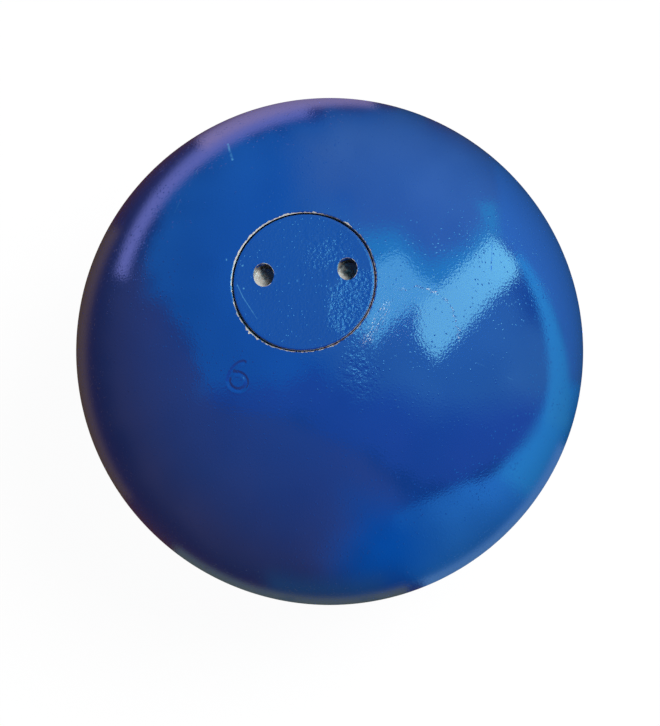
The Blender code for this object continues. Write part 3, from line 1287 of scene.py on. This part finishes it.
@dataclass(frozen=True)
class Thread:
    """A metric screw thread, as a band of faces that climbs by its pitch with each turn."""

    crest: float
    root: float
    low: float
    high: float
    pitch: float
    crest_flat: float
    columns: int
    flank_angle: float = 30.0

    def profile(self) -> list[tuple[float, float]]:
        """One pitch of the thread.

        Returns:
            The radius at each share of the pitch, from the middle of the crest.
        """
        depth = abs(self.crest - self.root)
        flank = depth * math.tan(math.radians(self.flank_angle))
        half = self.crest_flat / 2
        marks = [0.0, half, half + flank / 2, half + flank]
        radii = [self.crest, self.crest, (self.crest + self.root) / 2, self.root]
        middle = self.pitch / 2
        marks += [middle, self.pitch - marks[3], self.pitch - marks[2], self.pitch - half]
        radii += [self.root, self.root, radii[2], self.crest]
        return [(mark / self.pitch, radius) for mark, radius in zip(marks, radii)]

    def band(
        self, limit: Callable[[np.ndarray, np.ndarray], np.ndarray]
    ) -> tuple[np.ndarray, np.ndarray]:
        """The points and faces of the whole thread.

        Args:
            limit: Gives the radius that is left of a radius at a height, near the thread's ends.

        Returns:
            The points, rows x columns x 3, and the faces as rows of their numbers.
        """
        profile = self.profile()
        steps = len(profile)
        turns = int(math.ceil((self.high - self.low) / self.pitch)) + 2
        rows = turns * steps + 1
        marks = [turn + profile[k][0] for turn in range(turns) for k in range(steps)]
        share = np.array(marks + [float(turns)])
        radius = np.array([profile[k][1] for turn in range(turns) for k in range(steps)] + [profile[0][1]])
        angles = round_angles(self.columns)
        height = self.low + (share[:, None] - 1 + angles[None, :] / FULL_TURN) * self.pitch
        height = np.clip(height, self.low, self.high)
        wide = limit(np.broadcast_to(radius[:, None], height.shape), height)
        points = np.stack([wide * np.cos(angles), wide * np.sin(angles), height], axis=-1)
        number = np.arange(rows * self.columns).reshape(rows, self.columns)
        last = np.stack(
            [number[:-1 - steps, -1], number[steps:-1, 0], number[steps + 1:, 0], number[1:-steps, -1]],
            axis=-1,
        )
        return points.reshape(-1, 3), np.concatenate([grid_faces(number), last])


@dataclass(frozen=True)
class PunchedSix:
    """The weight class, a 6 struck into the iron before it was painted."""

    centre: tuple[float, float, float] = (-14.7 * MM, -18.6 * MM, 52.9 * MM)
    upwards: tuple[float, float] = (0.38, 0.93)
    height: float = 6.2 * MM
    stroke: float = 0.85 * MM
    depth: float = 0.2 * MM
    lip: float = 0.04 * MM

    def axes(self) -> tuple[np.ndarray, np.ndarray, np.ndarray]:
        """The number's right and up on the ball, and the direction out of it."""
        out = np.array(self.centre) / np.linalg.norm(self.centre)
        up = np.array([*self.upwards, 0.0])
        up -= out * (up @ out)
        up /= np.linalg.norm(up)
        return np.cross(up, out), up, out

    def strokes(self) -> np.ndarray:
        """Points along the number's bowl and tail, N x 2, from its centre."""
        tall = self.height
        bowl = np.linspace(0, FULL_TURN, 60)
        tail = np.radians(np.linspace(180, 100, 30))
        ring = np.column_stack([0.33 * tall * np.cos(bowl), -0.21 * tall + 0.29 * tall * np.sin(bowl)])
        stem = np.column_stack(
            [0.17 * tall + 0.5 * tall * np.cos(tail), -0.21 * tall + 0.71 * tall * np.sin(tail)]
        )
        return np.concatenate([ring, stem])

    def sink(self, points: np.ndarray) -> np.ndarray:
        """How far the punch moves each point inwards.

        Args:
            points: Places on the ball, N x 3, from its centre.

        Returns:
            The depth at each, less than zero on the raised lip.
        """
        right, up, _ = self.axes()
        offset = points - np.array(self.centre)
        near = np.where(np.linalg.norm(offset, axis=1) < self.height)[0]
        flat = np.column_stack([offset[near] @ right, offset[near] @ up])
        reach = np.min(np.linalg.norm(flat[:, None, :] - self.strokes()[None, :, :], axis=2), axis=1)
        half = self.stroke / 2
        depth = self.depth * smooth_step(half * 1.15, half * 0.35, reach)
        depth -= self.lip * np.exp(-((reach - half * 1.45) / (0.16 * MM)) ** 2)
        total = np.zeros(len(points))
        total[near] = depth
        return total


def brushed_zone(points: np.ndarray) -> np.ndarray:
    """Where the paint dried in pebbles: on the plug's right side and on the ball below it.

    Args:
        points: Places on the piece, N x 3, in metres, with the axis at zero.

    Returns:
        From 0 for smooth to 1 for pebbled.
    """
    x, y = points[:, 0] / MM, points[:, 1] / MM
    ragged = layered_noise(points, (1.6, 2.2 * MM, 41), (2.0, 5 * MM, 42))
    right = 1 - np.hypot((x - 10.8) / 7.0, (y + 6.2) / 9.0) + ragged * 0.09
    right *= 1 - 0.65 * smooth_step(15.0, 15.5, np.hypot(x, y))
    lower = 1 - np.hypot((x - 10.8) / 5.0, (y + 19.5) / 8.0) + ragged * 0.09
    above = 0.5 * (1 - np.hypot((x - 5) / 8, (y - 6) / 7)) + ragged * 0.05
    zone = np.clip(np.maximum(np.maximum(right * 1.6, lower * 1.3), above), 0.05, 1)
    return zone * (1 - 0.7 * streaked_zone(points))


def streaked_zone(points: np.ndarray) -> np.ndarray:
    """Where the brush's bristles left ridges: just outside the seam on the plug's lower right.

    Args:
        points: Places on the piece, N x 3, in metres, with the axis at zero.

    Returns:
        From 0 to 1.
    """
    turn = math.radians(BRISTLE_ANGLE)
    x, y = points[:, 0] / MM - 14.2, points[:, 1] / MM + 10.4
    along, across = x * math.cos(turn) + y * math.sin(turn), y * math.cos(turn) - x * math.sin(turn)
    away = np.hypot(along / 6.0, across / 1.6) + 0.2 * lattice_noise(points, 2.5 * MM, 43)
    return smooth_step(1.1, 0.6, away) * (points[:, 2] > 0)


def paint_lumps(points: np.ndarray) -> np.ndarray:
    """Heights in metres of the coarse pebbles in the paint, at most zero, before the zone's share."""
    fine, coarse = lattice_noise(points, 0.45 * MM, 83) - 1, lattice_noise(points, 0.8 * MM, 85) - 1
    return 85 * MICRON * fine + 40 * MICRON * coarse


def paint_values(
    points: np.ndarray, film: np.ndarray, dirty: float | np.ndarray = 0.0, rusty: float | np.ndarray = 0.3
) -> dict[str, np.ndarray]:
    """The values that the enamel's shader reads at each point.

    Args:
        points: Places on the piece, N x 3, with the axis at zero.
        film: How much of the paint is left at each, from 0 to 1.
        dirty: How far painted shade blackens the bare metal, one for all or one each.
        rusty: How rusty it is, one for all or one each.

    Returns:
        The values by name.
    """
    return {
        "film": film, "pebbled": brushed_zone(points), "streaked": streaked_zone(points),
        "dirty": np.broadcast_to(dirty, len(points)), "rusty": np.broadcast_to(rusty, len(points)),
    }


class Ball:
    """The cast-iron ball: punched, bored, tapped and enamelled."""

    UNDULATION = 10 * MICRON
    FILM = 0.05 * MM
    LUMP_SHARE = 0.8
    WIDE_COLUMNS = 640
    COLUMNS = 320
    BORE_COLUMNS = 160

    def __init__(self, fit: Fit) -> None:
        """Takes the sizes it shares with the other pieces."""
        self.fit = fit
        self.shell = Shell()
        self.six = PunchedSix()

    def build(self) -> bpy.types.Object:
        """Makes the ball and dresses it.

        Returns:
            The piece.
        """
        mouth = self._outside()
        self._inside(mouth)
        ball = self.shell.piece("enamelled_ball", [BALL_ENAMEL.material(), BORED_IRON.material()], 40)
        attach(ball, Body.BALL.value)
        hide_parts("ball_body")
        return ball

    def _polar_steps(self) -> list[tuple[float, int]]:
        """The rings of the outside, from the bottom pole to the mouth.

        Returns:
            For each ring, its angle from the top of the ball and its number of columns.
        """
        radius = self.fit.ball_radius
        mouth = math.asin((self.fit.bore_radius + self.fit.chamfer) / radius)
        stretches = (
            (math.pi, math.radians(177), 0.7 * MM, 40),
            (math.radians(177), math.radians(170), 1.2 * MM, 80),
            (math.radians(170), math.radians(155), 1.4 * MM, 160),
            (math.radians(155), math.radians(60), 1.4 * MM, self.COLUMNS),
            (math.radians(60), math.radians(30), 0.8 * MM, self.COLUMNS),
            (math.radians(30), math.radians(17.3), 0.25 * MM, self.WIDE_COLUMNS),
            (math.radians(17.3), math.radians(16.2), 0.15 * MM, self.WIDE_COLUMNS),
            (math.radians(16.2), mouth, 0.08 * MM, self.WIDE_COLUMNS),
        )
        rings = []
        for start, end, spacing, columns in stretches:
            count = max(1, round((start - end) * radius / spacing))
            rings += [(start + (end - start) * i / count, columns) for i in range(count)]
        rings.append((mouth, self.WIDE_COLUMNS))
        return rings[1:]

    def _mouth_edge(self, angles: np.ndarray) -> np.ndarray:
        """Where the paint ends round the mouth.

        Args:
            angles: Angles round the axis.

        Returns:
            The radius of the paint's edge at each.
        """
        ring = np.column_stack([np.cos(angles), np.sin(angles), np.zeros(len(angles))]) * self.fit.bore_radius
        ragged = layered_noise(ring, (0.13, 0.45 * MM, 3), (0.06, 2.7 * MM, 4))
        degrees = np.degrees(angles) % 360
        worn = 0.12 * smooth_step(80, 105, degrees) * smooth_step(190, 165, degrees)
        # The bare ring is wider where the seam is painted dark as shade
        worn = worn + 0.16 * self._shaded_seam(degrees)
        chips = np.zeros(len(angles))
        for middle, width, depth in (
            (218, 1.0, 0.35), (221, 1.1, 0.7), (224.5, 1.2, 0.4), (229, 1.0, 0.25), (293, 2.2, 0.35),
            (52, 1.6, 0.4), (80, 1.2, 0.3),
        ):
            away = (degrees - middle + 180) % 360 - 180
            chips += depth * np.exp(-(away / width) ** 2)
        return self.fit.bore_radius + (0.1 + worn + ragged + chips * (0.8 + 2 * ragged)) * MM

    def _shaded_seam(self, degrees: np.ndarray) -> np.ndarray:
        """Where the seam is painted dark as shade, from 0 to 1, by the angle round it from 0 to 360."""
        upper = smooth_step(5, 25, degrees) * smooth_step(80, 62, degrees)
        return upper + smooth_step(190, 205, degrees) * smooth_step(255, 238, degrees)

    def _bare_edge(self, places: np.ndarray) -> tuple[np.ndarray, np.ndarray]:
        """The state of the metal that shows round the mouth.

        Args:
            places: Places near the mouth, N x 3, with the axis at zero.

        Returns:
            How much painted shade and rust each has. The shade leaves a thin pale line beside the paint.
        """
        degrees = np.degrees(np.arctan2(places[:, 1], places[:, 0])) % 360
        away = np.hypot(places[:, 0], places[:, 1]) - self.fit.bore_radius
        # Painted shade: the bare metal next to the bore goes black where the seam's gap is shaded
        dirty = self._shaded_seam(degrees) * smooth_step(0.24 * MM, 0.14 * MM, away)
        right = smooth_step(0.2, 0.7, np.cos(np.radians(degrees + 20)))
        return dirty, 0.25 + 0.75 * right

    def _film(self, places: np.ndarray, edge: np.ndarray) -> np.ndarray:
        """How much paint is left at places near the mouth, given the paint's edge at each."""
        film = smooth_step(-0.05 * MM, 0.07 * MM, np.hypot(places[:, 0], places[:, 1]) - edge)
        return np.where(places[:, 2] < 0, 1, film)

    def _outside(self) -> np.ndarray:
        """Makes the painted outside.

        Returns:
            The numbers of the ring at the mouth.
        """
        fit, shell = self.fit, self.shell
        rings = self._polar_steps()
        directions = np.concatenate(
            [circle(math.sin(polar), math.cos(polar), columns) for polar, columns in rings]
        )
        places = directions * fit.ball_radius
        wander = layered_noise(places, (0.7, 17 * MM, 11), (0.3, 8 * MM, 12))
        sink = self.UNDULATION * (1 - wander) / 2 + self.six.sink(places)
        across = np.hypot(places[:, 0], places[:, 1])
        angles = np.arctan2(places[:, 1], places[:, 0])
        edge = self._mouth_edge(angles)
        film = self._film(places, edge)
        upper = places[:, 2] > 0
        beside = np.exp(-((across - edge - 0.12 * MM) / (0.16 * MM)) ** 2)
        crumbs = lattice_noise(places, 0.35 * MM, 21) * beside
        sink += (1 - film) * self.FILM + 0.03 * MM * crumbs * upper
        values = paint_values(places, film, *self._bare_edge(places))
        values["pebbled"] *= upper
        fine = smooth_step(29 * MM, 26 * MM, across) * upper
        sink -= self.LUMP_SHARE * fine * values["pebbled"] * paint_lumps(places)
        placed = directions * (fit.ball_radius - sink)[:, None] + np.array([0, 0, fit.ball_radius])
        shell.add(placed, **values)
        smooth_unrusted_unshaded = dict.fromkeys(("pebbled", "streaked", "dirty", "rusty"), np.zeros(1))
        previous = shell.add(np.zeros((1, 3)), film=np.ones(1), **smooth_unrusted_unshaded)
        start = 0
        for _, columns in rings:
            ring = np.arange(start, start + columns)
            shell.strip(previous, ring, 0)
            previous, start = ring, start + columns
        return previous

    def _inside(self, mouth: np.ndarray) -> None:
        """Makes the chamfered mouth, the tapped bore, the relief, the seat and the cavity.

        Args:
            mouth: The numbers of the ring at the mouth.
        """
        fit, shell = self.fit, self.shell
        bore, top = fit.bore_radius, fit.face - fit.chamfer
        previous = mouth
        edge = self._mouth_edge(round_angles(self.WIDE_COLUMNS))
        for share in (0.25, 0.5, 0.75, 1.0):
            height = top + (mouth_height(fit) - top) * (1 - share)
            ring = circle(bore + fit.chamfer * (1 - share), height, self.WIDE_COLUMNS)
            ring += 0.014 * MM * lattice_noise(ring, 0.4 * MM, 31)[:, None]
            values = paint_values(ring, self._film(ring, edge), *self._bare_edge(ring))
            previous = shell.extend(previous, ring, 0, **values)
        flanks = 2 * (fit.bore_root - fit.bore_crest) * math.tan(math.radians(Thread.flank_angle))
        thread = Thread(
            fit.bore_crest, fit.bore_root, fit.seat + fit.relief_width, top - fit.thread_start, fit.pitch,
            fit.pitch - fit.bore_root_flat - flanks, self.BORE_COLUMNS,
        )
        half, whole = self.BORE_COLUMNS, self.COLUMNS
        for drop, columns in ((0.2 * MM, whole), (0.5 * MM, half), (fit.thread_start, half)):
            previous = shell.extend(previous, circle(bore, top - drop, columns), 1)

        def limit(radius: np.ndarray, height: np.ndarray) -> np.ndarray:
            """Opens the thread out to the plain bore at both its ends."""
            entry = bore - (thread.high - height)
            runout = bore - (height - thread.low)
            return np.maximum(radius, np.maximum(entry, runout))

        points, faces = thread.band(limit)
        numbers = shell.add(points)
        shell.fill(numbers[faces][:, ::-1], 1)
        relief, cavity = bore + fit.relief_depth, fit.cavity_radius
        cone = fit.cavity_tip + cavity / math.tan(DRILL_HALF_ANGLE)
        outline = (
            (relief, thread.low - fit.relief_depth), (relief, fit.seat), (cavity, fit.seat), (cavity, cone),
        )
        previous = shell.add(circle(bore, thread.low, self.BORE_COLUMNS))
        for radius, height in outline:
            previous = shell.extend(previous, circle(radius, height, self.BORE_COLUMNS), 1)
        shell.extend(previous, np.array([[0.0, 0.0, fit.cavity_tip]]), 1)


def mouth_height(fit: Fit) -> float:
    """The height of the outer edge of the mouth's chamfer."""
    return fit.ball_radius + math.sqrt(fit.ball_radius ** 2 - (fit.bore_radius + fit.chamfer) ** 2)


@dataclass(frozen=True)
class Pit:
    """A blind spanner hole, drilled round, whose mouth burrs and paint have drawn out of round."""

    x: float
    y: float
    half_width: float
    half_height: float
    shift: tuple[float, float]
    # How far the painted shade reaches across the pit from its right side
    painted_shade: float
    radius: float = 2.4 * MM
    depth: float = 2.6 * MM
    columns: int = 96
    wall_steps: int = 14
    cone_steps: int = 9

    def ring(self, face: float, depth: float, away: float = 0.0) -> np.ndarray:
        """One ring of the wall, or of the face round it.

        Args:
            face: The height of the face.
            depth: How far below the face the ring lies.
            away: How far outside the wall it lies.

        Returns:
            Its points, drawn out of round at the mouth and round at the drill's cone.
        """
        mouth = 1 - depth / self.depth
        angles = round_angles(self.columns)
        place = circle(self.radius, face - depth, self.columns) + np.array([self.x, self.y, 0])
        wobble = layered_noise(place, (0.09, 1.6 * MM, 71), (0.06, 0.6 * MM, 72))
        wide = self.radius + (self.half_width - self.radius) * mouth + wobble * MM + away
        tall = self.radius + (self.half_height - self.radius) * mouth + wobble * MM + away
        across = self.x + self.shift[0] * mouth + wide * np.cos(angles)
        along = self.y + self.shift[1] * mouth + tall * np.sin(angles)
        return np.column_stack([across, along, np.full(self.columns, face - depth)])

    def away(self, places: np.ndarray) -> np.ndarray:
        """How far points of the face, N x 2, lie outside the mouth."""
        across = (places[:, 0] - self.x - self.shift[0]) / self.half_width
        along = (places[:, 1] - self.y - self.shift[1]) / self.half_height
        return (np.hypot(across, along) - 1) * (self.half_width + self.half_height) / 2

    def overspray(self, points: np.ndarray, face: float) -> np.ndarray:
        """Where paint ran in over the wall below its rim, N values from 0 to 1."""
        turn = np.degrees(np.arctan2(points[:, 1] - self.y, points[:, 0] - self.x))
        side = np.exp(-((turn - 105) / 35) ** 2)
        high = smooth_step(face - 1.8 * MM, face - 0.7 * MM, points[:, 2])
        high *= smooth_step(face - 0.1 * MM, face - 0.4 * MM, points[:, 2])
        return np.clip(0.75 * side * high + 0.15 * lattice_noise(points, 0.7 * MM, 74), 0, 1)

    def state(self, points: np.ndarray, face: float) -> tuple[np.ndarray, np.ndarray]:
        """The state of the pit's bare metal: painted shade on its right, primer on the upper left of its rim.

        Args:
            points: Places in the pit, N x 3.
            face: The height of the face.

        Returns:
            How much painted shade and how much rust it has at each.
        """
        across, along = (points[:, 0] - self.x) / self.radius, (points[:, 1] - self.y) / self.radius
        # Painted shade: darker towards the pit's right side, where its shadow falls
        right = 0.9 * across + 0.4 * along + 0.25 * lattice_noise(points, 0.6 * MM, 75) + self.painted_shade
        rim = smooth_step(face - 0.5 * MM, face - 0.1 * MM, points[:, 2])
        primed = rim * smooth_step(0.2, 0.8, 0.8 * along - 0.6 * across)
        return (0.12 + 0.88 * smooth_step(-0.45, 0.5, right)) * (1 - primed), 0.15 + 0.85 * primed


class Plug:
    """The steel plug: an enamelled face with two spanner pits, a thread, a shoulder and a spigot."""

    COLUMNS = 192
    POINT_SPACING = 0.26 * MM
    FACE_DROP = 0.06 * MM
    ROUNDING = 0.4 * MM
    RIM_WANDER = 0.02 * MM
    CHAMFER = 0.6 * MM
    RUNOUT_SLOPE = 1.75
    PITS = (
        Pit(-8.35 * MM, 1.8 * MM, 2.18 * MM, 2.57 * MM, (0.0, 0.27 * MM), 0.1),
        Pit(9.55 * MM, 1.8 * MM, 2.08 * MM, 2.43 * MM, (-0.22 * MM, 0.35 * MM), 0.55),
    )

    def __init__(self, fit: Fit) -> None:
        """Takes the sizes it shares with the other pieces."""
        self.fit = fit
        self.shell = Shell()

    def build(self) -> bpy.types.Object:
        """Makes the plug and dresses it.

        Returns:
            The piece.
        """
        rim = self._turned()
        self._face(rim)
        plug = self.shell.piece("screwed_plug", [PLUG_ENAMEL.material(), TURNED_STEEL.material()], 45)
        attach(plug, Body.PLUG.value)
        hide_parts("threaded_plug")
        return plug

    def _turned(self) -> np.ndarray:
        """Makes the spigot, the shoulder, the thread and the rim.

        Returns:
            The numbers of the points round the face.
        """
        fit, shell = self.fit, self.shell
        spigot, root = fit.cavity_radius - fit.gap, fit.thread_root
        outline = (
            (spigot - self.CHAMFER, fit.plug_end), (spigot, fit.plug_end + self.CHAMFER),
            (spigot, fit.shoulder), (root, fit.shoulder),
        )
        previous = shell.add(np.array([[0.0, 0.0, fit.plug_end]]))
        for radius, height in outline:
            previous = shell.extend(previous, circle(radius, height, self.COLUMNS), 1)
        thread = Thread(
            fit.plug_radius, root, fit.shoulder, fit.face - fit.thread_start, fit.pitch,
            fit.pitch / 8, self.COLUMNS,
        )

        def limit(radius: np.ndarray, height: np.ndarray) -> np.ndarray:
            """Chamfers the thread's start and runs it out below the face."""
            start = np.minimum(radius, root + (height - thread.low))
            return np.maximum(start, fit.plug_radius - self.RUNOUT_SLOPE * (thread.high - height))

        points, faces = thread.band(limit)
        numbers = shell.add(points)
        shell.fill(numbers[faces], 1)
        previous = shell.add(circle(fit.plug_radius, thread.high, self.COLUMNS))
        for degrees in (0, 30, 60, 90):
            turn = math.radians(degrees)
            reach = self.ROUNDING * (1 - math.cos(turn)), self.ROUNDING * (1 - math.sin(turn))
            height = fit.face - self.FACE_DROP - reach[1]
            ring = circle(fit.plug_radius - reach[0], height, self.COLUMNS)
            wander = lattice_noise(ring, 0.5 * MM, 61)
            ring[:, :2] *= 1 + self.RIM_WANDER * wander[:, None] / fit.plug_radius
            film = np.clip(degrees / 30 - 0.2 + 0.5 * wander, 0, 1)
            previous = shell.extend(previous, ring, 0, **paint_values(ring, film))
        return previous

    def _face(self, rim: np.ndarray) -> None:
        """Makes the face with its two pits.

        Args:
            rim: The numbers of the points round the face.
        """
        fit, shell = self.fit, self.shell
        level = fit.face - self.FACE_DROP
        rim_points = np.concatenate(shell.points)[rim]
        edges = [rim_points[:, :2], *(pit.ring(fit.face, 0)[:, :2] for pit in self.PITS)]
        loops, flat = [], []
        for edge in edges:
            first = len(flat)
            flat += edge.tolist()
            loops += [(first + i, first + (i + 1) % len(edge)) for i in range(len(edge))]
        radius = float(np.hypot(*edges[0].T).min())
        flat += self._scatter(radius)
        found = delaunay_2d_cdt([Vector(p) for p in flat], loops, [], 0, 1e-9)
        if len(found[0]) != len(flat):
            raise ValueError("the face's points moved while they were joined")
        places = np.array([tuple(p) for p in found[0]])
        points = np.column_stack([places, self._heights(places, level)])
        values = paint_values(points, self._film(places))
        new = shell.add(points[len(rim):], **{name: value[len(rim):] for name, value in values.items()})
        numbers = np.concatenate([rim, new])
        triangles = np.array([f for f in found[2] if len(f) == 3])
        middles = places[triangles].mean(axis=1)
        kept = depth_inside(middles, edges[0]) > 0
        for edge in edges[1:]:
            kept &= depth_inside(middles, edge) < 0
        shell.fill(numbers[triangles[kept]], 0)
        start = len(rim)
        for pit in self.PITS:
            self._pit(pit, numbers[start:start + pit.columns])
            start += pit.columns

    def _scatter(self, radius: float) -> list[list[float]]:
        """Loose points of the face: an even lattice with finer rings round the pits.

        Args:
            radius: The radius of the face.

        Returns:
            The points.
        """
        rings = [pit.ring(0, 0, away * MM)[:, :2] for pit in self.PITS for away in (0.1, 0.22, 0.38, 0.58)]
        step = self.POINT_SPACING
        rows = int(radius / (step * math.sqrt(3) / 2))
        lattice = np.array([
            ((i + 0.5 * (j % 2)) * step, j * step * math.sqrt(3) / 2)
            for j in range(-rows, rows + 1)
            for i in range(-int(radius / step) - 1, int(radius / step) + 2)
        ])
        keep = np.hypot(*lattice.T) < radius - 0.12 * MM
        for pit in self.PITS:
            keep &= pit.away(lattice) > 0.78 * MM
        return np.concatenate([*rings, lattice[keep]]).tolist()

    def _heights(self, places: np.ndarray, level: float) -> np.ndarray:
        """The face's relief: a slight wave, pebbled paint, raised rims round the pits and a centre mark.

        Args:
            places: Points of the face, N x 2.
            level: The height of the flat face.

        Returns:
            Their heights.
        """
        points = np.column_stack([places, np.zeros(len(places))])
        height = level + 4 * MICRON * lattice_noise(points, 9 * MM, 81)
        rim = self.fit.plug_radius
        inland = smooth_step(rim - 0.4 * MM, rim - 1.2 * MM, np.hypot(*places.T))
        height += brushed_zone(points) * inland * paint_lumps(points)
        for pit in self.PITS:
            away = pit.away(places)
            lumps = 0.6 + 0.6 * lattice_noise(points, 0.7 * MM, 82)
            height += 0.03 * MM * lumps * np.exp(-((away - 0.2 * MM) / (0.16 * MM)) ** 2)
        mark = np.hypot(places[:, 0] + 0.9 * MM, places[:, 1] - 0.3 * MM)
        height -= 0.06 * MM * np.exp(-(mark / (0.3 * MM)) ** 2)
        return height

    def _film(self, places: np.ndarray) -> np.ndarray:
        """Where the face keeps its paint: everywhere but on the very edges of the pits.

        Args:
            places: Points of the face, N x 2.

        Returns:
            1 for paint, 0 for bare metal.
        """
        film = np.ones(len(places))
        points = np.column_stack([places, np.zeros(len(places))])
        for pit in self.PITS:
            ragged = 0.05 * MM * lattice_noise(points, 0.6 * MM, 84)
            film = np.minimum(film, smooth_step(-0.05 * MM, 0.07 * MM, pit.away(places) + ragged))
        return film

    def _pit(self, pit: Pit, edge: np.ndarray) -> None:
        """Makes one drilled pit, rough down its wall and over the drill's cone.

        Args:
            pit: Its size and place.
            edge: The numbers of the points round its mouth.
        """
        shell, face, previous = self.shell, self.fit.face, edge
        rings = [pit.ring(face, share * pit.depth) for share in np.linspace(0.08, 1, pit.wall_steps)]
        slope = math.tan(DRILL_HALF_ANGLE)
        middle = np.array([pit.x, pit.y, face - pit.depth])
        foot = rings[-1]
        for step in range(1, pit.cone_steps + 1):
            share = 1 - step / (pit.cone_steps + 1)
            ring = middle + (foot - middle) * share
            ring[:, 2] -= pit.radius * (1 - share) / slope
            ring[:, 2] += 0.12 * MM * lattice_noise(ring, 0.5 * MM, 73)
            rings.append(ring)
        for ring in rings:
            values = paint_values(ring, pit.overspray(ring, face), *pit.state(ring, face))
            previous = shell.extend(previous, ring, 0, **values)
        tip = middle[None, :] - [0, 0, pit.radius / slope]
        shell.extend(previous, tip, 0, **paint_values(tip, np.zeros(1), *pit.state(tip, face)))


class Insides:
    """The fibre washer and the lead, which keep the shapes of the construction model."""

    def dress(self) -> list[bpy.types.Object]:
        """Gives both their finishes.

        Returns:
            The two nodes.
        """
        dressed = []
        for node, finish in (("sealing_washer", VULCANISED_FIBRE), ("lead_ballast", CAST_LEAD)):
            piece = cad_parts[node]
            piece.data.materials.clear()
            piece.data.materials.append(finish.material())
            dressed.append(piece)
        return dressed


def main() -> None:
    """Builds the studio and every piece."""
    logging.basicConfig(level=logging.INFO, format="%(name)s: %(message)s")
    fit = Fit.from_frame()
    view = Viewpoint(Vector((0, 0, fit.ball_radius)), fit.ball_radius)
    view.make_camera()
    Studio(view).build()
    log.info("studio and camera")
    for maker in (Ball(fit), Plug(fit)):
        piece = maker.build()
        log.info("%s: %d faces", piece.name, len(piece.data.polygons))
    for piece in Insides().dress():
        log.info("%s dressed", piece.name)
    bpy.context.view_layer.update()


if __name__ == "__main__":
    main()
